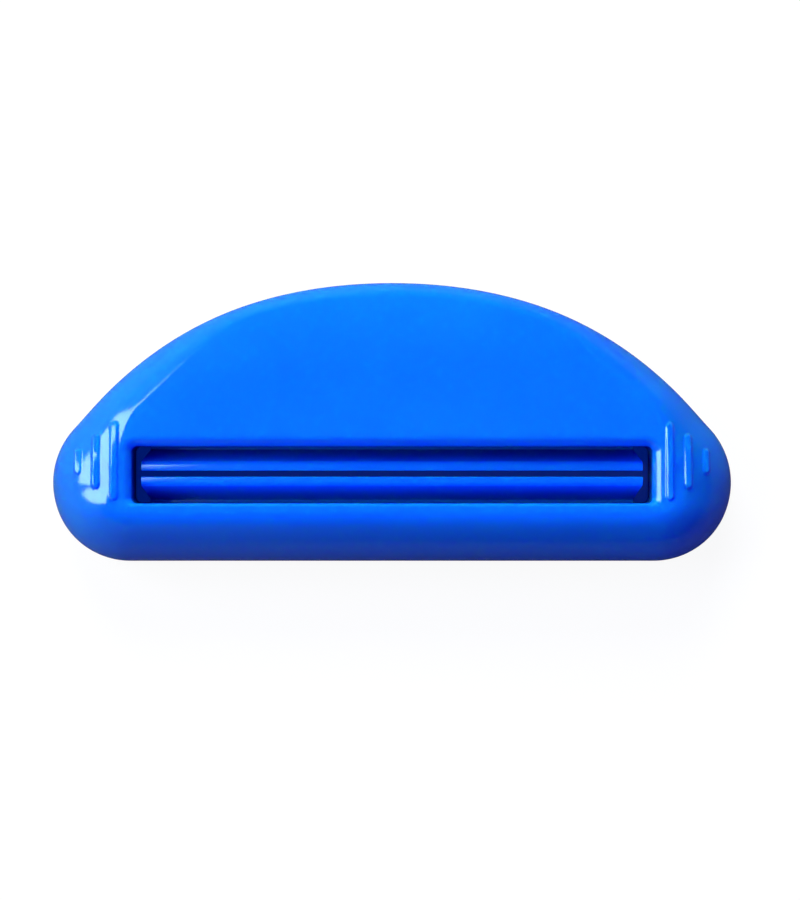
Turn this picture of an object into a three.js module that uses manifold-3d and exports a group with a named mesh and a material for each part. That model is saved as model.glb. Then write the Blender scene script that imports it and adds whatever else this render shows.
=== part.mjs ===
// Toothpaste squeezer: one moulded plastic shell, domed on one long edge, with a slot between two lips.
// Millimetres. X runs along the slot, +Y towards the domed edge, +Z out of the front face.
// The back rim lies on z = 0, and the outline is centred on the origin.

import * as THREE from 'three';
import { mergeVertices } from 'three/addons/utils/BufferGeometryUtils.js';
import Module from 'manifold-3d';

const wasm = await Module();
wasm.setup();

// Overall size
const length = 92;
const height = 37.5;
const thickness = 15;
const wall = 1.6;

// Outline: straight foot, round ends, straight-running flanks and a domed crown
const endRadius = 10.6;
const flankSlope = THREE.MathUtils.degToRad(46);
const flankReach = 6.5;
const crownReach = 27.5;

// Rounding from the outer wall onto the face: how far it reaches in, how deep it starts, and how full
// it is (2 is an ellipse, and less than that slopes sooner from the face)
const crownEdge = { reach: 1.9, depth: 3.2, fullness: 2 };
const flankEdge = { reach: 4.6, depth: 5.4, fullness: 1.7 };
const endEdge = { reach: 9.4, depth: 9, fullness: 1.75 };
const footEdge = { reach: 6.8, depth: 7.5, fullness: 1.6 };

// Inwards from the end, the run in which the end's rounding gives way to the flank's, and after that the
// flank's to the crown's
const flankRun = 9;
const crownRun = 18;

// The face bends gently down towards the crown, outside a flat middle
const bendDrop = 1.2;
const bendWidth = 9;

// Window: the deep recess round the lips, and the rounding of its rim
const windowLength = 69.8;
const windowWidth = 7.65;
const windowToFoot = 7.83;
const windowCorner = 0.8;
const windowWall = 1.5;
const windowWallEnd = 2.6;
const rimRoundAbove = 1.5;
const rimRoundEnds = 1.6;
const rimRoundBelow = 0.45;

// Lips: two slanted tongues that leave the slot between their noses
const slotGap = 0.8;
const slotAboveMiddle = 0.16;
const slotDepth = 1.3;
const noseWidth = 1.18;
const noseBelowFace = 3;
const noseRound = 0.25;
const lipRise = 8;
const lipRoot = 1.1;
const trenchFloor = 0.4;
const lipEndGap = 1.15;
const lipEndSlant = 0.9;

// Grip ribs on each end, spread evenly from the window outwards
const ribWidth = 1.2;
const ribHeight = 0.4;
const ribSunk = 0.3;
const ribAboveFoot = 13.5;
const firstRibFromWindow = 2.3;
const lastRibFromEnd = 3.8;
const ribLengths = [10.7, 7.6, 3.7];

// Fineness of the facets
const outlineSteps = { foot: 3, end: 18, crown: 14 };
const edgeSteps = 8;
const faceSteps = 4;
const rimSteps = 3;

// Places that follow from the sizes
const footY = -height / 2;
const crownY = height / 2;
const endCentre = new THREE.Vector2(length / 2 - endRadius, footY + endRadius);
const windowFootY = footY + windowToFoot;
const windowMiddleY = windowFootY + windowWidth / 2;
const slotY = windowMiddleY + slotAboveMiddle;
const ribSpan = (length - windowLength) / 2 - firstRibFromWindow - lastRibFromEnd;
const ribPitch = ribSpan / (ribLengths.length - 1);
const noseZ = thickness - noseBelowFace;
const trenchZ = noseZ - lipRise;

// Right half of the outline, from the middle of the foot round the end to the top of the crown
function makeHalfOutline() {
  const flank = new THREE.Vector2(Math.sin(flankSlope), Math.cos(flankSlope));
  const shoulder = endCentre.clone().addScaledVector(flank, endRadius);
  const alongFlank = new THREE.Vector2(-flank.y, flank.x).multiplyScalar(flankReach).add(shoulder);
  const footMiddle = new THREE.Vector2(0, footY);
  const footEnd = new THREE.Vector2(endCentre.x, footY);
  const crownHandle = new THREE.Vector2(crownReach, crownY);
  const crownTop = new THREE.Vector2(0, crownY);
  return {
    foot: new THREE.LineCurve(footMiddle, footEnd),
    end: new THREE.EllipseCurve(
      endCentre.x, endCentre.y, endRadius, endRadius, -Math.PI / 2, Math.PI / 2 - flankSlope),
    crown: new THREE.CubicBezierCurve(shoulder, alongFlank, crownHandle, crownTop),
  };
}

// Nearest point of the window's centre block, whose corners the window's edge rounds
function windowCore(point) {
  const halfLength = windowLength / 2 - windowCorner;
  const halfWidth = windowWidth / 2 - windowCorner;
  return new THREE.Vector2(
    THREE.MathUtils.clamp(point.x, -halfLength, halfLength),
    THREE.MathUtils.clamp(point.y, windowMiddleY - halfWidth, windowMiddleY + halfWidth),
  );
}

// Share of a run that a point has passed, counted along the part from its end
function shareAfter(point, fromEnd, run) {
  return THREE.MathUtils.smoothstep(length / 2 - Math.abs(point.x), fromEnd, fromEnd + run);
}

function mixEdges(low, high, share) {
  return {
    reach: THREE.MathUtils.lerp(low.reach, high.reach, share),
    depth: THREE.MathUtils.lerp(low.depth, high.depth, share),
    fullness: THREE.MathUtils.lerp(low.fullness, high.fullness, share),
  };
}

// The edge's rounding turns from the end's to the foot's below, and to the flank's and crown's above
function edgeRounding(outer, outward) {
  if (outward.y <= 0) {
    return mixEdges(endEdge, footEdge, THREE.MathUtils.smoothstep(-outward.y, 0.1, 0.85));
  }
  const flank = mixEdges(endEdge, flankEdge, shareAfter(outer, 0, flankRun));
  return mixEdges(flank, crownEdge, shareAfter(outer, flankRun, crownRun));
}

// A station is a line across the face, from a point of the outline to the window's edge
function makeStation(outer, outward) {
  const core = windowCore(outer);
  const fromWindow = outer.clone().sub(core).normalize();
  const rim = core.clone().addScaledVector(fromWindow, windowCorner);
  const innerOuter = outer.clone().addScaledVector(outward, -wall);
  const innerRim = rim.clone().addScaledVector(fromWindow, windowWall);
  const width = outer.distanceTo(rim);
  const innerWidth = innerOuter.distanceTo(innerRim);

  const { reach, depth, fullness } = edgeRounding(outer, outward);
  const bend = outward.y > 0 ? bendDrop * shareAfter(outer, 0, flankRun) : 0;

  // The rim's rounding turns from above the window to its ends to below it
  const rimSide = fromWindow.y > 0 ? rimRoundAbove : rimRoundBelow;
  const rimRound = THREE.MathUtils.lerp(rimRoundEnds, rimSide, fromWindow.y * fromWindow.y);

  const across = Math.max(outward.dot(fromWindow), 0.5);
  return {
    outer, rim, innerOuter, innerRim, width, innerWidth, depth, fullness, bend, rimRound,
    reach: Math.min(reach / across, width - rimRound),
    innerReach: Math.min(Math.max(reach - wall, wall / 4) / across, innerWidth),
    innerDepth: Math.max(depth - wall, wall / 4),
  };
}

// Stations all round, anticlockwise from the middle of the foot: the left half mirrors the right one
function makeStations() {
  const right = Object.entries(makeHalfOutline()).flatMap(([name, curve]) =>
    Array.from({ length: outlineSteps[name] }, (_, step) => {
      const share = step / outlineSteps[name];
      const tangent = curve.getTangent(share);
      return { place: curve.getPoint(share), outward: new THREE.Vector2(tangent.y, -tangent.x) };
    }),
  );
  const crownTop = { place: new THREE.Vector2(0, crownY), outward: new THREE.Vector2(0, 1) };
  const left = right.slice(1).reverse().map(({ place, outward }) => ({
    place: new THREE.Vector2(-place.x, place.y),
    outward: new THREE.Vector2(-outward.x, outward.y),
  }));
  return [...right, crownTop, ...left].map(({ place, outward }) => makeStation(place, outward));
}

// How far the gentle bend has dropped the face at a distance in from the outline
function bendAt(station, distance) {
  return station.bend * Math.max(0, 1 - distance / bendWidth) ** 2;
}

// Drop of a rounding at a share of its reach, counted from where it meets the face
function roundingDrop(share, depth, fullness) {
  return depth * (1 - (1 - Math.max(0, share) ** fullness) ** (1 / fullness));
}

// Height of the front face at a distance in from the outline, outside the rim's rounding
function faceHeight(station, distance) {
  const rounding = roundingDrop(1 - distance / station.reach, station.depth, station.fullness);
  return thickness - bendAt(station, distance) - rounding;
}

// Closed section of the shell on a station: up the outer wall, over the face, down into the window,
// and back under the face to the rim
function makeSection(station) {
  const section = [];
  const onOuter = (distance, z) => {
    const place = station.outer.clone().lerp(station.rim, distance / station.width);
    section.push(new THREE.Vector3(place.x, place.y, z));
  };
  const onInner = (distance, z) => {
    const place = station.innerOuter.clone().lerp(station.innerRim, distance / station.innerWidth);
    section.push(new THREE.Vector3(place.x, place.y, z));
  };

  onOuter(0, 0);
  for (let step = 0; step <= edgeSteps; step++) {
    const distance = station.reach * (1 - Math.cos((step / edgeSteps) * Math.PI / 2));
    onOuter(distance, faceHeight(station, distance));
  }
  const flatWidth = station.width - station.rimRound - station.reach;
  for (let step = 1; step <= faceSteps; step++) {
    const distance = station.reach + flatWidth * (step / (faceSteps + 1)) ** 1.5;
    onOuter(distance, faceHeight(station, distance));
  }
  for (let step = 0; step <= rimSteps; step++) {
    const turn = (step / rimSteps) * Math.PI / 2;
    const distance = station.width - station.rimRound * (1 - Math.sin(turn));
    const top = faceHeight(station, station.width - station.rimRound);
    onOuter(distance, top - station.rimRound * (1 - Math.cos(turn)));
  }
  onOuter(station.width, windowWallEnd);

  const ceiling = thickness - wall;
  onInner(station.innerWidth, windowWallEnd);
  onInner(station.innerWidth, ceiling - bendAt(station, station.innerWidth));
  for (let step = edgeSteps / 2; step >= 0; step--) {
    const share = Math.cos((step / edgeSteps) * Math.PI);
    const distance = station.innerReach * (1 - share);
    const rounding = roundingDrop(share, station.innerDepth, station.fullness);
    onInner(distance, ceiling - bendAt(station, distance) - rounding);
  }
  onInner(0, 0);
  onOuter(0, 0);
  return section;
}

// Shell: a closed ring whose every section is moved to its station
function makeShell(stations) {
  const sections = stations.map(makeSection);
  const ring = sections[0].map((_, index) => new THREE.Vector2(1 + index, 0));
  const geometry = new THREE.LatheGeometry(ring, sections.length);
  const position = geometry.attributes.position;
  for (let index = 0; index < position.count; index++) {
    const section = sections[Math.floor(index / ring.length) % sections.length];
    const place = section[index % ring.length];
    position.setXYZ(index, place.x, place.y, place.z);
  }
  return geometry;
}

// Lip: a slanted tongue from the bottom of the window's wall up to its nose beside the slot.
// Side is 1 for the lip above the slot and -1 for the one below it.
function makeLip(side) {
  const toWall = windowWidth / 2 - side * slotAboveMiddle;
  const noseInner = slotGap / 2;
  const noseOuter = noseInner + noseWidth;
  const bite = windowWall / 2;
  const rootInner = toWall - lipRoot;

  const shape = new THREE.Shape();
  shape.moveTo(noseInner, noseZ - slotDepth);
  shape.lineTo(noseInner, noseZ - noseRound);
  shape.quadraticCurveTo(noseInner, noseZ, noseInner + noseRound, noseZ);
  shape.lineTo(noseOuter - noseRound, noseZ);
  shape.quadraticCurveTo(noseOuter, noseZ, noseOuter + noseRound / 3, noseZ - noseRound);
  shape.lineTo(toWall - trenchFloor, trenchZ);
  shape.lineTo(toWall + bite, trenchZ);
  shape.lineTo(toWall + bite, windowWallEnd);
  shape.lineTo(rootInner, windowWallEnd);
  shape.closePath();

  const lipLength = windowLength - 2 * lipEndGap;
  const options = { depth: lipLength, bevelEnabled: false, curveSegments: 4 };
  const geometry = new THREE.ExtrudeGeometry(shape, options);
  const position = geometry.attributes.position;
  for (let index = 0; index < position.count; index++) {
    const fromSlot = position.getX(index);
    const z = position.getY(index);
    const along = position.getZ(index) - lipLength / 2;
    const slant = lipEndSlant * (noseZ - z) / lipRise;
    const x = Math.sign(along) * (Math.abs(along) - slant);
    position.setXYZ(index, side * x, slotY + side * fromSlot, z);
  }
  return geometry;
}

// Height of the front face over any point between the window and the outline
function heightOver(point, outlinePoints) {
  const core = windowCore(point);
  const direction = point.clone().sub(core).normalize();
  for (let index = 0; index < outlinePoints.length; index++) {
    const start = outlinePoints[index];
    const along = outlinePoints[(index + 1) % outlinePoints.length].clone().sub(start);
    const toStart = start.clone().sub(core);
    const facing = direction.cross(along);
    const reach = toStart.cross(along) / facing;
    const share = toStart.cross(direction) / facing;
    if (facing > 0 && share >= 0 && share <= 1) {
      const outer = core.clone().addScaledVector(direction, reach);
      const outward = new THREE.Vector2(along.y, -along.x).normalize();
      const station = makeStation(outer, outward);
      return faceHeight(station, outer.distanceTo(point));
    }
  }
  return thickness;
}

// Rib: a rounded bar bent to the face, with its widest part sunk in the wall
function makeRib(side, index, outlinePoints) {
  const x = side * (windowLength / 2 + firstRibFromWindow + index * ribPitch);
  const y = footY + ribAboveFoot;
  const geometry = new THREE.CapsuleGeometry(ribWidth / 2, ribLengths[index] - ribWidth, 3, 10, 6);
  geometry.scale(1, 1, (ribHeight + ribSunk) / (ribWidth / 2));
  geometry.translate(x, y, -ribSunk);
  const position = geometry.attributes.position;
  for (let vertex = 0; vertex < position.count; vertex++) {
    const point = new THREE.Vector2(position.getX(vertex), position.getY(vertex));
    position.setZ(vertex, position.getZ(vertex) + heightOver(point, outlinePoints));
  }
  return geometry;
}

// Turns a closed geometry into a solid that can be joined
function toSolid(geometry) {
  geometry.deleteAttribute('normal');
  geometry.deleteAttribute('uv');
  const merged = mergeVertices(geometry, 1e-4);
  return new wasm.Manifold(new wasm.Mesh({
    numProp: 3,
    vertProperties: new Float32Array(merged.attributes.position.array),
    triVerts: new Uint32Array(merged.index.array),
  }));
}

function toGeometry(solid) {
  const mesh = solid.getMesh();
  const geometry = new THREE.BufferGeometry();
  geometry.setAttribute('position', new THREE.BufferAttribute(mesh.vertProperties, 3));
  geometry.setIndex(new THREE.BufferAttribute(mesh.triVerts, 1));
  geometry.computeVertexNormals();
  return geometry;
}

function makeBody() {
  const stations = makeStations();
  const outlinePoints = stations.map((station) => station.outer);
  let body = toSolid(makeShell(stations));
  for (const side of [-1, 1]) {
    body = body.add(toSolid(makeLip(side)));
    ribLengths.forEach((_, index) => {
      body = body.add(toSolid(makeRib(side, index, outlinePoints)));
    });
  }
  return toGeometry(body);
}

const bluePlastic = new THREE.MeshStandardMaterial({ color: '#0673f8', roughness: 0.15, metalness: 0 });

const body = new THREE.Mesh(makeBody(), bluePlastic);
body.name = 'squeezer_body';

const squeezer = new THREE.Group();
squeezer.add(body);

export default squeezer;
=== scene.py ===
# Toothpaste squeezer: the finished look of its one moulded body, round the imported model

import math
import bmesh
import bpy
from mathutils import Matrix, Vector
from mathutils.kdtree import KDTree


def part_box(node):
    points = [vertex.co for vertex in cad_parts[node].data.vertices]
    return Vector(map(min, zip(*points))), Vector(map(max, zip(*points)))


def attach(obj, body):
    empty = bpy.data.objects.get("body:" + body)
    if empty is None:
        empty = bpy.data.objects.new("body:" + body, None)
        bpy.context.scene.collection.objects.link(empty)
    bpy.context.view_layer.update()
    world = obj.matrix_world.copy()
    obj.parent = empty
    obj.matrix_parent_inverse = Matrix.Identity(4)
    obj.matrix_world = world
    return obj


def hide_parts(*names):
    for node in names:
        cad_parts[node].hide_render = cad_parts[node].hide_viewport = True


millimetre = 0.001

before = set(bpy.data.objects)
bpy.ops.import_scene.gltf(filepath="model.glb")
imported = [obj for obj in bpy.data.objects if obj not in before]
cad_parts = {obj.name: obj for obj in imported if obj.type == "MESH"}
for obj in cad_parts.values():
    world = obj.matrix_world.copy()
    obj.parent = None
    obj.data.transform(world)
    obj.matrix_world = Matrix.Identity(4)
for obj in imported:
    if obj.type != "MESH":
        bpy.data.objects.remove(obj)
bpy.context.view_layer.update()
bodyLow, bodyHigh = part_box("squeezer_body")


# Small helpers

def mix(low, high, share):
    return low + (high - low) * share


def clamp(value, low, high):
    return min(max(value, low), high)


def smoothStep(value, start, end):
    share = clamp((value - start) / (end - start), 0, 1)
    return share * share * (3 - 2 * share)


def addPiece(name, mesh, material):
    piece = bpy.data.objects.new(name, mesh)
    bpy.context.scene.collection.objects.link(piece)
    mesh.materials.append(material)
    return piece


# Outline of the body in plan, in millimetres round the origin: straight foot, round ends, domed crown

outline = {
    "length": (bodyHigh.x - bodyLow.x) / millimetre,
    "height": (bodyHigh.y - bodyLow.y) / millimetre,
    "endRadius": 10.6,
    "flankSlope": math.radians(46),
    "flankReach": 6.5,
    "crownReach": 27.5,
    "footSteps": 24,
    "endSteps": 140,
    "crownSteps": 80,
    "crownCrowding": 1.5,   # above 1, the steps lie closer together near the ends
    "nearestFineness": 20,  # how much finer the steps are where the face looks for the nearest edge
}


def bezierPoint(points, share):
    start, first, second, end = points
    rest = 1 - share
    place = (rest ** 3 * start + 3 * rest ** 2 * share * first
             + 3 * rest * share ** 2 * second + share ** 3 * end)
    along = rest ** 2 * (first - start) + 2 * rest * share * (second - first) + share ** 2 * (end - second)
    return place, along.normalized()


def rightHalf(fineness):
    radius = outline["endRadius"]
    footY = -outline["height"] / 2
    crownY = outline["height"] / 2
    centre = Vector((outline["length"] / 2 - radius, footY + radius))
    points = []
    footSteps = outline["footSteps"] * fineness
    endSteps = outline["endSteps"] * fineness
    crownSteps = outline["crownSteps"] * fineness

    for step in range(footSteps):
        points.append((Vector((centre.x * step / footSteps, footY)), Vector((0, -1))))

    quarter = math.pi / 2
    for step in range(endSteps):
        turn = mix(-quarter, quarter - outline["flankSlope"], step / endSteps)
        outward = Vector((math.cos(turn), math.sin(turn)))
        points.append((centre + radius * outward, outward))

    flank = Vector((math.sin(outline["flankSlope"]), math.cos(outline["flankSlope"])))
    shoulder = centre + radius * flank
    along = shoulder + outline["flankReach"] * Vector((-flank.y, flank.x))
    crown = (shoulder, along, Vector((outline["crownReach"], crownY)), Vector((0, crownY)))
    for step in range(crownSteps + 1):
        share = (step / crownSteps) ** outline["crownCrowding"]
        place, along = bezierPoint(crown, share)
        points.append((place, Vector((along.y, -along.x))))
    return points


def outlinePoints(fineness=1):
    right = rightHalf(fineness)
    left = [(Vector((-place.x, place.y)), Vector((-out.x, out.y))) for place, out in right[1:-1]]
    return right + left[::-1]


# Shell: a ring whose section is moved to each station between the outline and the window

shell = {
    "thickness": 15,
    "wall": 1.6,
    "crownEdge": (1.9, 3.2, 2),  # how far the edge's rounding reaches in, how deep it starts, its fullness
    "flankEdge": (4.6, 5.4, 1.7),
    "endEdge": (9.4, 9, 1.75),
    "footEdge": (6.8, 7.5, 1.6),
    "flankRun": 9,               # from the end, the run in which the end's rounding gives way to the flank's
    "crownRun": 18,              # and after that the flank's to the crown's
    "footTurn": (0.1, 0.85),     # facing down this much, the foot's rounding sets in and takes over
    "innerEdgeLeast": 0.4,       # the wall's inside keeps at least this rounding
    "acrossLeast": 0.5,          # a station that slants more than this is taken to slant this much
    "bendDrop": 1.2,
    "bendWidth": 9,
    "windowLength": 69.8,
    "windowWidth": 7.65,
    "windowToFoot": 7.83,
    "windowCorner": 0.8,
    "windowWall": 1.5,
    "windowWallEnd": 2.6,
    "rimRoundAbove": 1.5,
    "rimRoundEnds": 1.6,
    "rimRoundBelow": 0.45,
    "hiddenRound": 0.25,       # the small rounding of the back's edges
    "faceSteps": 110,
    "faceCrowding": 0.1,       # the smaller, the closer the steps lie at the outer edge
    "roundSteps": 10,
    "smallRoundSteps": 3,
    "wallSteps": 5,
}

windowMiddle = -outline["height"] / 2 + shell["windowToFoot"] + shell["windowWidth"] / 2

# Grip ribs: ridges on each end, from the window outwards, whose tops lie flatter than the face round them

ribs = {
    "halfWidth": 0.68,
    "topHalfWidth": 0.3,
    "height": 0.4,
    "aboveFoot": 13.5,
    "firstFromWindow": 2.3,
    "lastFromEnd": 3.8,
    "lengths": (10.7, 7.6, 3.7),
    "levelling": (0.2, 0.45, 0.6),  # rise of each top outwards, against the fall of the face
}


ribSpan = (outline["length"] - shell["windowLength"]) / 2 - ribs["firstFromWindow"] - ribs["lastFromEnd"]
ribPitch = ribSpan / (len(ribs["lengths"]) - 1)


def ribRise(place):
    y = place.y + outline["height"] / 2 - ribs["aboveFoot"]
    rise = 0
    for index, (length, levelling) in enumerate(zip(ribs["lengths"], ribs["levelling"])):
        x = abs(place.x) - shell["windowLength"] / 2 - ribs["firstFromWindow"] - index * ribPitch
        pastEnd = max(abs(y) - length / 2 + ribs["halfWidth"], 0)
        flank = smoothStep(math.hypot(x, pastEnd), ribs["halfWidth"], ribs["topHalfWidth"])
        rise = max(rise, flank * (ribs["height"] + levelling * x))
    return rise


def mixEdges(low, high, share):
    return [mix(first, second, share) for first, second in zip(low, high)]


def shareAfter(place, fromEnd, run):
    return smoothStep(outline["length"] / 2 - abs(place.x), fromEnd, fromEnd + run)


def edgeRounding(place, outward):
    if outward.y <= 0:
        return mixEdges(shell["endEdge"], shell["footEdge"], smoothStep(-outward.y, *shell["footTurn"]))
    flank = mixEdges(shell["endEdge"], shell["flankEdge"], shareAfter(place, 0, shell["flankRun"]))
    return mixEdges(flank, shell["crownEdge"], shareAfter(place, shell["flankRun"], shell["crownRun"]))


def makeStation(outer, outward):
    halfLength = shell["windowLength"] / 2 - shell["windowCorner"]
    halfWidth = shell["windowWidth"] / 2 - shell["windowCorner"]
    core = Vector((clamp(outer.x, -halfLength, halfLength),
                   clamp(outer.y, windowMiddle - halfWidth, windowMiddle + halfWidth)))
    fromWindow = (outer - core).normalized()
    rim = core + shell["windowCorner"] * fromWindow
    innerOuter = outer - shell["wall"] * outward
    innerRim = rim + shell["windowWall"] * fromWindow

    reach, depth, fullness = edgeRounding(outer, outward)
    rimSide = shell["rimRoundAbove"] if fromWindow.y > 0 else shell["rimRoundBelow"]
    rimRound = mix(shell["rimRoundEnds"], rimSide, fromWindow.y ** 2)
    across = max(outward.dot(fromWindow), shell["acrossLeast"])
    width = (outer - rim).length
    innerWidth = (innerOuter - innerRim).length
    return {
        "outer": outer, "rim": rim, "innerOuter": innerOuter, "innerRim": innerRim,
        "width": width, "innerWidth": innerWidth, "fullness": fullness, "rimRound": rimRound,
        "bend": bendAtEdge(outer, outward),
        "innerReach": min(max(reach - shell["wall"], shell["innerEdgeLeast"]) / across, innerWidth),
        "innerDepth": max(depth - shell["wall"], shell["innerEdgeLeast"]),
    }


def bendAtEdge(place, outward):
    return shell["bendDrop"] * shareAfter(place, 0, shell["flankRun"]) if outward.y > 0 else 0


def bendAt(bend, distance):
    return bend * max(0, 1 - distance / shell["bendWidth"]) ** 2


def roundingDrop(share, depth, fullness):
    return depth * (1 - (1 - max(0, share) ** fullness) ** (1 / fullness))


def makeEdgeTree(points):
    tree = KDTree(len(points))
    for index, (place, _) in enumerate(points):
        tree.insert(place.to_3d(), index)
    tree.balance()
    return tree


edgePoints = outlinePoints(outline["nearestFineness"])
edgeTree = makeEdgeTree(edgePoints)


def faceHeight(place):  # from the distance to the nearest point of the outline
    _, index, distance = edgeTree.find((place.x, place.y, 0))
    reach, depth, fullness = edgeRounding(*edgePoints[index])
    rounding = roundingDrop(1 - distance / reach, depth, fullness)
    bend = bendAt(bendAtEdge(*edgePoints[index]), distance)
    return shell["thickness"] - rounding - bend + ribRise(place)


def quarterTurn(steps):
    return [math.pi / 2 * step / steps for step in range(steps + 1)]


def makeSection(station):
    section = []

    def onOuter(distance, z):
        place = station["outer"].lerp(station["rim"], distance / station["width"])
        section.append(Vector((place.x, place.y, z)))

    def onInner(distance, z):
        place = station["innerOuter"].lerp(station["innerRim"], distance / station["innerWidth"])
        section.append(Vector((place.x, place.y, z)))

    small = shell["hiddenRound"]
    wallTop = faceHeight(station["outer"])

    for turn in quarterTurn(shell["smallRoundSteps"]):  # back rim, outer edge
        onOuter(small * (1 - math.sin(turn)), small * (1 - math.cos(turn)))
    for step in range(1, shell["wallSteps"]):
        onOuter(0, mix(small, wallTop, step / shell["wallSteps"]))

    flatEnd = station["width"] - station["rimRound"]
    crowding = shell["faceCrowding"]
    for step in range(shell["faceSteps"] + 1):  # over the face to the window's rim
        share = step / shell["faceSteps"]
        onOuter(flatEnd * share * share * (1 + crowding) / (share + crowding), 0)
        section[-1].z = faceHeight(section[-1])

    top = section[-1].z
    rimRound = station["rimRound"]
    for turn in quarterTurn(shell["roundSteps"])[1:]:  # rim of the window
        onOuter(flatEnd + rimRound * math.sin(turn), top - rimRound * (1 - math.cos(turn)))
    wallEnd = shell["windowWallEnd"]
    for step in range(1, shell["wallSteps"]):
        onOuter(station["width"], mix(top - rimRound, wallEnd + small, step / shell["wallSteps"]))
    for turn in quarterTurn(shell["smallRoundSteps"]):  # end of the window's wall, both edges
        onOuter(station["width"] - small * (1 - math.cos(turn)), wallEnd + small * (1 - math.sin(turn)))
    for turn in quarterTurn(shell["smallRoundSteps"]):
        onInner(station["innerWidth"] + small * (1 - math.sin(turn)), wallEnd + small * (1 - math.cos(turn)))

    ceiling = shell["thickness"] - shell["wall"]
    innerTop = ceiling - bendAt(station["bend"], station["innerWidth"])
    for step in range(1, shell["wallSteps"]):
        onInner(station["innerWidth"], mix(wallEnd + small, innerTop, step / shell["wallSteps"]))
    for step in range(shell["roundSteps"] + 1):  # under the face
        distance = mix(station["innerWidth"], station["innerReach"], step / shell["roundSteps"])
        onInner(distance, ceiling - bendAt(station["bend"], distance))
    for turn in quarterTurn(shell["roundSteps"])[-2::-1]:
        distance = station["innerReach"] * (1 - math.cos(turn))
        rounding = roundingDrop(math.cos(turn), station["innerDepth"], station["fullness"])
        onInner(distance, ceiling - bendAt(station["bend"], distance) - rounding)
    innerWallTop = section[-1].z
    for step in range(1, shell["wallSteps"]):
        onInner(0, mix(innerWallTop, small, step / shell["wallSteps"]))
    for turn in quarterTurn(shell["smallRoundSteps"]):  # back rim, inner edge
        onInner(-small * (1 - math.cos(turn)), small * (1 - math.sin(turn)))
    return section


def makeShell():
    sections = [makeSection(makeStation(outer, outward)) for outer, outward in outlinePoints()]
    stationCount = len(sections)
    pointCount = len(sections[0])
    ringRadius = 3
    mergeWithin = 0.001

    bm = bmesh.new()
    bmesh.ops.create_circle(bm, segments=pointCount, radius=1)
    bmesh.ops.rotate(bm, verts=bm.verts, cent=(0, 0, 0), matrix=Matrix.Rotation(math.pi / 2, 3, "X"))
    bmesh.ops.translate(bm, verts=bm.verts, vec=(ringRadius, 0, 0))
    bmesh.ops.spin(bm, geom=bm.verts[:] + bm.edges[:], cent=(0, 0, 0), axis=(0, 0, 1), dvec=(0, 0, 0),
                   angle=2 * math.pi, steps=stationCount, use_merge=True, use_duplicate=False)
    for vert in bm.verts:  # round the ring is the station, round its tube the point of the section
        fromTube = math.hypot(vert.co.x, vert.co.y) - ringRadius
        around = math.atan2(vert.co.y, vert.co.x) / (2 * math.pi) * stationCount
        within = math.atan2(vert.co.z, fromTube) / (2 * math.pi) * pointCount
        vert.co = sections[round(around) % stationCount][round(within) % pointCount]
    bmesh.ops.remove_doubles(bm, verts=bm.verts, dist=mergeWithin)
    bmesh.ops.recalc_face_normals(bm, faces=bm.faces)
    mesh = bpy.data.meshes.new("shell")
    bm.to_mesh(mesh)
    bm.free()
    return mesh


# Lips: two slanted tongues, whose noses leave the slot between them

lips = {
    "slotGap": 0.8,
    "slotAboveMiddle": 0.16,
    "slotDepth": 1.3,
    "noseWidth": 1.18,
    "noseBelowFace": 3,
    "slotEdgeRound": 0.2,
    "outerEdgeRound": 0.55,
    "endRound": 0.12,
    "rise": 8,
    "root": 1.1,
    "trenchFloor": 0.4,
    "endGap": 1.15,
    "endSlant": 0.9,
    "roundSegments": 6,
    "endRoundSegments": 2,
    "samePlace": 1e-4,         # closer than this, two corners are at one place
}


def bevelEdges(bm, edges, offset, segments):
    bmesh.ops.bevel(bm, geom=edges, offset=offset, offset_type="OFFSET", affect="EDGES", segments=segments,
                    profile=0.5, clamp_overlap=True, material=-1)


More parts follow.
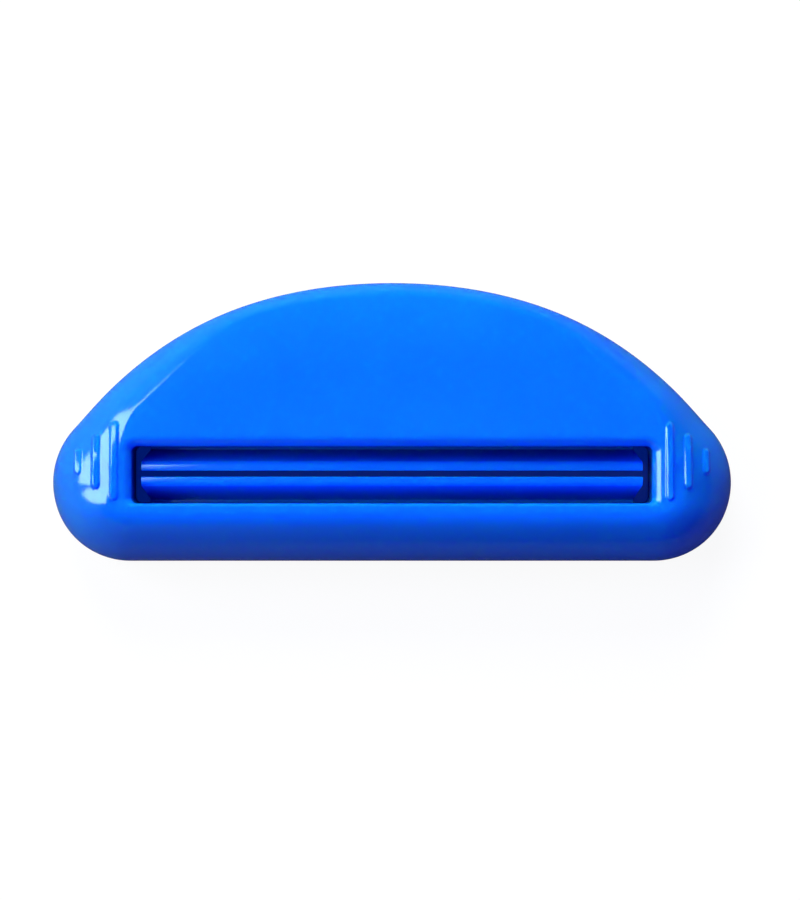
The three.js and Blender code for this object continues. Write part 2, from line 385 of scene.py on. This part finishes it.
def makeLip(side):
    toWall = shell["windowWidth"] / 2 - side * lips["slotAboveMiddle"]
    noseZ = shell["thickness"] - lips["noseBelowFace"]
    trenchZ = noseZ - lips["rise"]
    noseInner = lips["slotGap"] / 2
    noseOuter = noseInner + lips["noseWidth"]
    bite = shell["windowWall"] / 2
    section = [
        (noseInner, noseZ - lips["slotDepth"]),
        (noseInner, noseZ),
        (noseOuter, noseZ),
        (toWall - lips["trenchFloor"], trenchZ),
        (toWall + bite, trenchZ),
        (toWall + bite, shell["windowWallEnd"] + lips["endRound"]),
        (toWall - lips["root"], shell["windowWallEnd"] + lips["endRound"]),
    ]
    half = shell["windowLength"] / 2 - lips["endGap"]
    slotY = windowMiddle + lips["slotAboveMiddle"]

    bm = bmesh.new()
    corners = [bm.verts.new((-half, slotY + side * across, z)) for across, z in section]
    face = bm.faces.new(corners)
    extruded = bmesh.ops.extrude_face_region(bm, geom=[face])
    moved = [item for item in extruded["geom"] if isinstance(item, bmesh.types.BMVert)]
    bmesh.ops.translate(bm, verts=moved, vec=(2 * half, 0, 0))
    for vert in bm.verts:  # the ends slant inwards below the nose
        slant = lips["endSlant"] * (noseZ - vert.co.z) / lips["rise"]
        vert.co.x = math.copysign(half - slant, vert.co.x)

    def onLine(vert, y):
        return abs(vert.co.z - noseZ) < lips["samePlace"] and abs(vert.co.y - y) < lips["samePlace"]

    def noseEdges(across):
        y = slotY + side * across
        return [edge for edge in bm.edges if all(onLine(vert, y) for vert in edge.verts)]

    bevelEdges(bm, noseEdges(noseOuter), lips["outerEdgeRound"], lips["roundSegments"])
    bevelEdges(bm, noseEdges(noseInner), lips["slotEdgeRound"], lips["roundSegments"])
    # Only the two ends have more than four corners
    endEdges = [edge for edge in bm.edges if sum(len(face.verts) > 4 for face in edge.link_faces) == 1]
    bevelEdges(bm, endEdges, lips["endRound"], lips["endRoundSegments"])
    bmesh.ops.recalc_face_normals(bm, faces=bm.faces)
    mesh = bpy.data.meshes.new("lip")
    bm.to_mesh(mesh)
    bm.free()
    return mesh


def makeBody(material):
    sharpAngle = math.radians(40)
    body = addPiece("moulded_body", makeShell(), material)
    print("shell made:", len(body.data.polygons), "faces")
    made = []
    for side in (-1, 1):
        lip = bpy.data.objects.new("lip", makeLip(side))
        bpy.context.scene.collection.objects.link(lip)
        made.append(lip)
        join = body.modifiers.new("join", "BOOLEAN")
        join.operation = "UNION"
        join.solver = "EXACT"
        join.object = lip
    joined = bpy.data.meshes.new_from_object(body.evaluated_get(bpy.context.evaluated_depsgraph_get()))
    body.modifiers.clear()
    body.data = joined
    for lip in made:
        bpy.data.objects.remove(lip)
    joined.transform(Matrix.Scale(millimetre, 4))
    joined.shade_smooth()
    joined.set_sharp_from_angle(angle=sharpAngle)
    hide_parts("squeezer_body")
    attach(body, "root")
    print("body joined:", len(joined.polygons), "faces")


# Blue plastic: glossy, slightly translucent, with a faint waviness from the mould

plastic = {
    "deepBlue": (0.0016, 0.188, 0.93, 1),
    "brightBlue": (0.0022, 0.208, 0.97, 1),
    "cloudScale": 45,
    "cloudDetail": 3,
    "cloudEnds": (0.35, 0.65),      # where the clouds are fully deep and fully bright
    "roughnessRange": (0.11, 0.17),
    "roughnessScale": 350,
    "roughnessDetail": 4,
    "waveScale": 120,
    "waveDetail": 2,
    "waveHeight": 0.00002,
    "ior": 1.6,
    "specularLevel": 0.9,
    "specularTint": (0.62, 1, 1, 1),
    "subsurface": 1,
    "subsurfaceRadius": (0.04, 0.12, 1),
    "subsurfaceScale": 0.005,
}


def addNode(tree, kind, **values):
    node = tree.nodes.new(kind)
    for name, value in values.items():
        if hasattr(node, name):
            setattr(node, name, value)
        else:
            node.inputs[name].default_value = value
    return node


def addNoise(tree, source, scale, detail):
    noise = addNode(tree, "ShaderNodeTexNoise", Scale=scale, Detail=detail)
    tree.links.new(source.outputs["Object"], noise.inputs["Vector"])
    return noise


def setRange(node, side, ends):
    node.inputs[side + " Min"].default_value, node.inputs[side + " Max"].default_value = ends


def makePlastic():
    material = bpy.data.materials.new("blue_plastic")
    material.use_nodes = True
    tree = material.node_tree
    shader = tree.nodes["Principled BSDF"]
    source = addNode(tree, "ShaderNodeTexCoord")

    clouds = addNoise(tree, source, plastic["cloudScale"], plastic["cloudDetail"])
    tones = addNode(tree, "ShaderNodeValToRGB")
    for end, position, colour in zip(tones.color_ramp.elements, plastic["cloudEnds"],
                                     (plastic["deepBlue"], plastic["brightBlue"])):
        end.position = position
        end.color = colour
    tree.links.new(clouds.outputs["Fac"], tones.inputs["Fac"])
    tree.links.new(tones.outputs["Color"], shader.inputs["Base Color"])

    grain = addNoise(tree, source, plastic["roughnessScale"], plastic["roughnessDetail"])
    spread = addNode(tree, "ShaderNodeMapRange")
    setRange(spread, "To", plastic["roughnessRange"])
    tree.links.new(grain.outputs["Fac"], spread.inputs["Value"])
    tree.links.new(spread.outputs["Result"], shader.inputs["Roughness"])

    waves = addNoise(tree, source, plastic["waveScale"], plastic["waveDetail"])
    bump = addNode(tree, "ShaderNodeBump", Distance=plastic["waveHeight"], Strength=1)
    tree.links.new(waves.outputs["Fac"], bump.inputs["Height"])
    tree.links.new(bump.outputs["Normal"], shader.inputs["Normal"])

    shader.inputs["IOR"].default_value = plastic["ior"]
    shader.inputs["Specular IOR Level"].default_value = plastic["specularLevel"]
    shader.inputs["Specular Tint"].default_value = plastic["specularTint"]
    shader.inputs["Subsurface Weight"].default_value = plastic["subsurface"]
    shader.inputs["Subsurface Radius"].default_value = plastic["subsurfaceRadius"]
    shader.inputs["Subsurface Scale"].default_value = plastic["subsurfaceScale"]
    return material


# Studio: a white bowl for floor and backdrop, lamps, world and camera

studio = {
    "floorRadius": 1.6,
    "coveRadius": 0.4,
    "wallHeight": 1.1,
    "coveSteps": 8,
    "turnSteps": 64,
    "floorColour": (0.1, 0.1, 0.1, 1),
    "glow": (0.93, 0.93, 0.9, 1),        # what the camera sees of the floor besides its own light
    "paintedReflectionShares": (0.16, 0.018),     # painted reflection: how much of the glow the reflections hold, at the fade's two ends, more on the left to brighten the body's left edges
    "paintedReflectionEnds": (-0.2, 0.03),            # the painted reflection fades along X, from the left to the middle
    "paintedShadeColour": (0, 0.008, 0.14, 1),  # painted shade: the floor glows dark blue under the body, standing in for the shadow seen through the slot
    "paintedShadeMiddle": (0, -0.004, 0),
    "paintedShadeHalf": (0.042, 0.013, 1),      # half the size of the floor's painted shade patch under the body
    "worldColour": (0.02, 0.1, 1, 1),
    "worldStrength": 0.8,
}


def makeStudioMaterial():
    material = bpy.data.materials.new("studio_white")
    material.use_nodes = True
    tree = material.node_tree
    tree.nodes.remove(tree.nodes["Principled BSDF"])
    source = addNode(tree, "ShaderNodeTexCoord")
    # Mask of the painted shade patch under the body, whose dark blue shows through the slot as its shadow
    centred = addNode(tree, "ShaderNodeVectorMath", operation="SUBTRACT")
    centred.inputs[1].default_value = studio["paintedShadeMiddle"]
    shaped = addNode(tree, "ShaderNodeVectorMath", operation="DIVIDE")
    shaped.inputs[1].default_value = studio["paintedShadeHalf"]
    size = addNode(tree, "ShaderNodeVectorMath", operation="LENGTH")
    outsidePaintedShade = addNode(tree, "ShaderNodeMath", operation="GREATER_THAN")
    outsidePaintedShade.inputs[1].default_value = 1
    tree.links.new(source.outputs["Object"], centred.inputs[0])
    tree.links.new(centred.outputs[0], shaped.inputs[0])
    tree.links.new(shaped.outputs[0], size.inputs[0])
    tree.links.new(size.outputs["Value"], outsidePaintedShade.inputs[0])

    # The glow is for the camera, through clear pieces too, and fainter in reflections, where it is a painted
    # reflection that is stronger on the left
    path = addNode(tree, "ShaderNodeLightPath")
    direct = addNode(tree, "ShaderNodeMath", operation="MAXIMUM")
    seen = addNode(tree, "ShaderNodeMath", operation="MAXIMUM")
    along = addNode(tree, "ShaderNodeSeparateXYZ")
    tree.links.new(source.outputs["Object"], along.inputs[0])
    paintedReflectionFade = addNode(tree, "ShaderNodeMapRange")
    setRange(paintedReflectionFade, "From", studio["paintedReflectionEnds"])
    setRange(paintedReflectionFade, "To", studio["paintedReflectionShares"])
    tree.links.new(along.outputs["X"], paintedReflectionFade.inputs["Value"])
    mirrored = addNode(tree, "ShaderNodeMath", operation="MULTIPLY")
    tree.links.new(path.outputs["Is Glossy Ray"], mirrored.inputs[0])
    tree.links.new(paintedReflectionFade.outputs["Result"], mirrored.inputs[1])
    tree.links.new(path.outputs["Is Camera Ray"], direct.inputs[0])
    tree.links.new(mirrored.outputs[0], direct.inputs[1])
    tree.links.new(direct.outputs[0], seen.inputs[0])
    tree.links.new(path.outputs["Is Transmission Ray"], seen.inputs[1])

    # The glow is painted shade, dark blue, inside the patch under the body, and white outside it
    glowAndPaintedShade = addNode(tree, "ShaderNodeValToRGB")
    glowAndPaintedShade.color_ramp.elements[0].color = studio["paintedShadeColour"]
    glowAndPaintedShade.color_ramp.elements[1].color = studio["glow"]
    tree.links.new(outsidePaintedShade.outputs[0], glowAndPaintedShade.inputs["Fac"])
    glow = addNode(tree, "ShaderNodeEmission")
    tree.links.new(glowAndPaintedShade.outputs["Color"], glow.inputs["Color"])
    tree.links.new(seen.outputs[0], glow.inputs["Strength"])
    surface = addNode(tree, "ShaderNodeBsdfDiffuse", Color=studio["floorColour"])
    both = addNode(tree, "ShaderNodeAddShader")
    tree.links.new(glow.outputs[0], both.inputs[0])
    tree.links.new(surface.outputs[0], both.inputs[1])
    tree.links.new(both.outputs[0], tree.nodes["Material Output"].inputs["Surface"])
    return material


def makeStudio():
    radius = studio["floorRadius"]
    cove = studio["coveRadius"]
    mergeWithin = 1e-6
    bm = bmesh.new()
    profile = [bm.verts.new((0, 0, 0)), bm.verts.new((radius - cove, 0, 0))]
    for turn in quarterTurn(studio["coveSteps"])[1:]:
        across = radius - cove * (1 - math.sin(turn))
        profile.append(bm.verts.new((across, 0, cove * (1 - math.cos(turn)))))
    profile.append(bm.verts.new((radius, 0, studio["wallHeight"])))
    for first, second in zip(profile, profile[1:]):
        bm.edges.new((first, second))
    bmesh.ops.spin(bm, geom=bm.verts[:] + bm.edges[:], cent=(0, 0, 0), axis=(0, 0, 1), dvec=(0, 0, 0),
                   angle=2 * math.pi, steps=studio["turnSteps"], use_merge=True, use_duplicate=False)
    bmesh.ops.remove_doubles(bm, verts=bm.verts, dist=mergeWithin)
    bmesh.ops.recalc_face_normals(bm, faces=bm.faces)
    # The bowl's inside faces the room's middle
    middle = Vector((0, 0, 1))
    away = [face for face in bm.faces if face.normal.dot(middle - face.calc_center_median()) < 0]
    bmesh.ops.reverse_faces(bm, faces=away)
    mesh = bpy.data.meshes.new("studio_floor")
    bm.to_mesh(mesh)
    bm.free()
    mesh.shade_smooth()
    floor = addPiece("studio_floor", mesh, makeStudioMaterial())


lamps = {
    "softbox_left": {"place": (-0.472, 0.12, 0.353), "size": (0.36, 0.56), "power": 3.3, "mirrored": True},
    "top_light": {"place": (-0.05, 0.50, 0.27), "size": (0.40, 0.40), "power": 5.2, "mirrored": False},
}


def makeLamps():
    for name, values in lamps.items():
        lamp = bpy.data.lights.new(name, "AREA")
        lamp.shape = "RECTANGLE"
        lamp.size, lamp.size_y = values["size"]
        lamp.energy = values["power"]
        lampObject = bpy.data.objects.new(name, lamp)
        lampObject.location = values["place"]
        lampObject.visible_camera = False
        lampObject.visible_glossy = values["mirrored"]
        lampObject.rotation_euler = (-Vector(values["place"])).to_track_quat("-Z", "Y").to_euler()
        bpy.context.scene.collection.objects.link(lampObject)


def makeWorld():
    world = bpy.data.worlds.new("studio_air")
    world.use_nodes = True
    background = world.node_tree.nodes["Background"]
    background.inputs["Color"].default_value = studio["worldColour"]
    background.inputs["Strength"].default_value = studio["worldStrength"]
    bpy.context.scene.world = world


# Camera: straight above the face, as in the photograph

camera = {
    "frame": (800, 900),
    "objectPixels": (392, 422.3),  # the middle of the outline in the photograph
    "lengthPixels": 680,
    "distance": 0.6,
    "widestAt": 0.008,             # height of the widest outline above the floor
    "sensor": 36,
    "nearest": 0.01,
}


def makeCamera():
    scale = outline["length"] * millimetre / camera["lengthPixels"]
    offCentre = [(half / 2 - pixel) * scale for half, pixel in zip(camera["frame"], camera["objectPixels"])]
    data = bpy.data.cameras.new("camera")
    data.sensor_width = camera["sensor"]
    data.lens = camera["sensor"] * camera["distance"] / (camera["frame"][1] * scale)
    data.clip_start = camera["nearest"]
    view = bpy.data.objects.new("camera", data)
    view.location = (offCentre[0], -offCentre[1], camera["distance"] + camera["widestAt"])
    bpy.context.scene.collection.objects.link(view)
    bpy.context.scene.camera = view


bpy.context.scene.view_settings.view_transform = "Standard"
makeCamera()
makeBody(makePlastic())
makeStudio()
makeLamps()
makeWorld()
print("studio, lamps and camera made")
